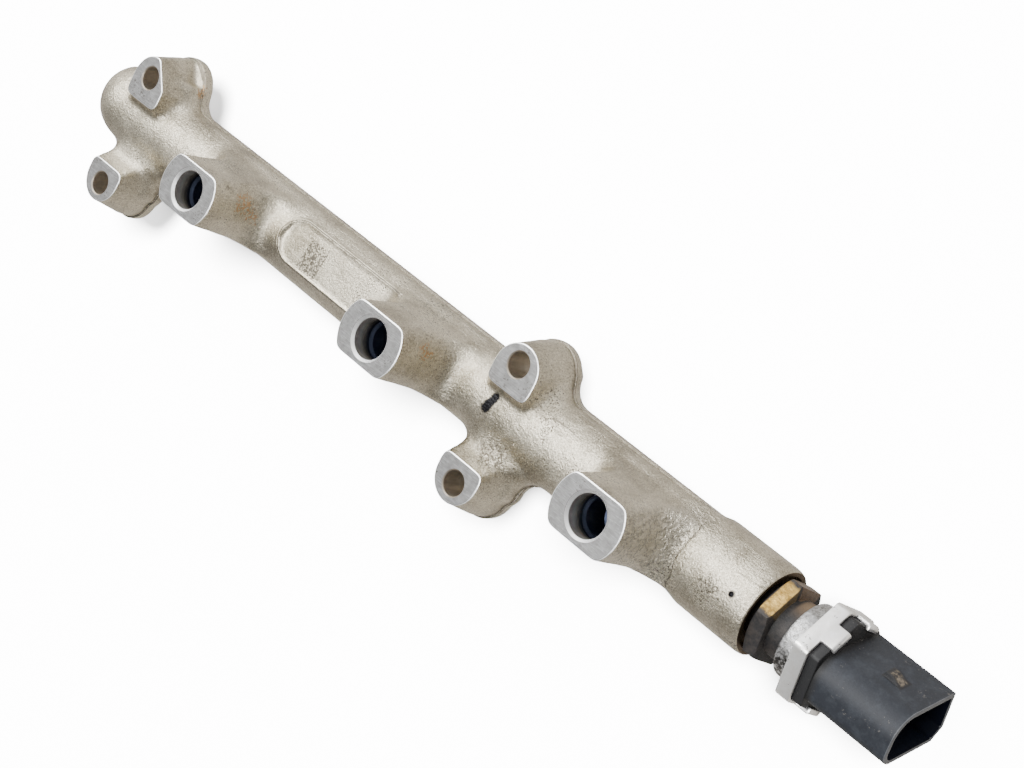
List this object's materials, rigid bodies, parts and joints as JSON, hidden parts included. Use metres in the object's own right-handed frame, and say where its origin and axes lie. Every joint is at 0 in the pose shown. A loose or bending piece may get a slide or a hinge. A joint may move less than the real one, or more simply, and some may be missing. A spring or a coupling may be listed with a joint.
{
  "type": "fuel rail with pressure sensor",
  "caption": "Forged direct-injection fuel rail with injector cups, bolt bosses, fuel inlet and a pressure sensor with its plug socket.",
  "frame": {"origin": "centre of the middle injector cup's mouth", "axes": "+X along the rail to the pressure sensor, +Z out of the cup mouths, +Y to the bolt bosses that sit close to the rail"},
  "size_m": [0.3255, 0.0537, 0.0545],
  "materials": {
    "forged_steel": "blasted, satin",
    "plated_steel": "satin",
    "port_steel": "worn, passivated",
    "black_plastic": "fine grain",
    "contact_metal": "tinned",
    "seal_rubber": "matt",
    "board": "lacquered",
    "chip": "matt"
  },
  "bodies": {
    "root": {"rail_body": "forged_steel", "inlet_nipple": "plated_steel", "sensor_port": "port_steel", "housing_base": "plated_steel", "sensor_shell": "plated_steel", "sensing_cell": "plated_steel", "seal_ring": "seal_rubber", "board_carrier": "black_plastic", "circuit_board": "board", "signal_chip": "chip", "board_capacitor_1": "chip", "board_capacitor_2": "chip", "connector_housing": "black_plastic", "contact_spring_1": "contact_metal", "contact_spring_2": "contact_metal", "contact_spring_3": "contact_metal", "terminal_pin_1": "contact_metal", "terminal_pin_2": "contact_metal", "terminal_pin_3": "contact_metal"}
  },
  "joints": []
}
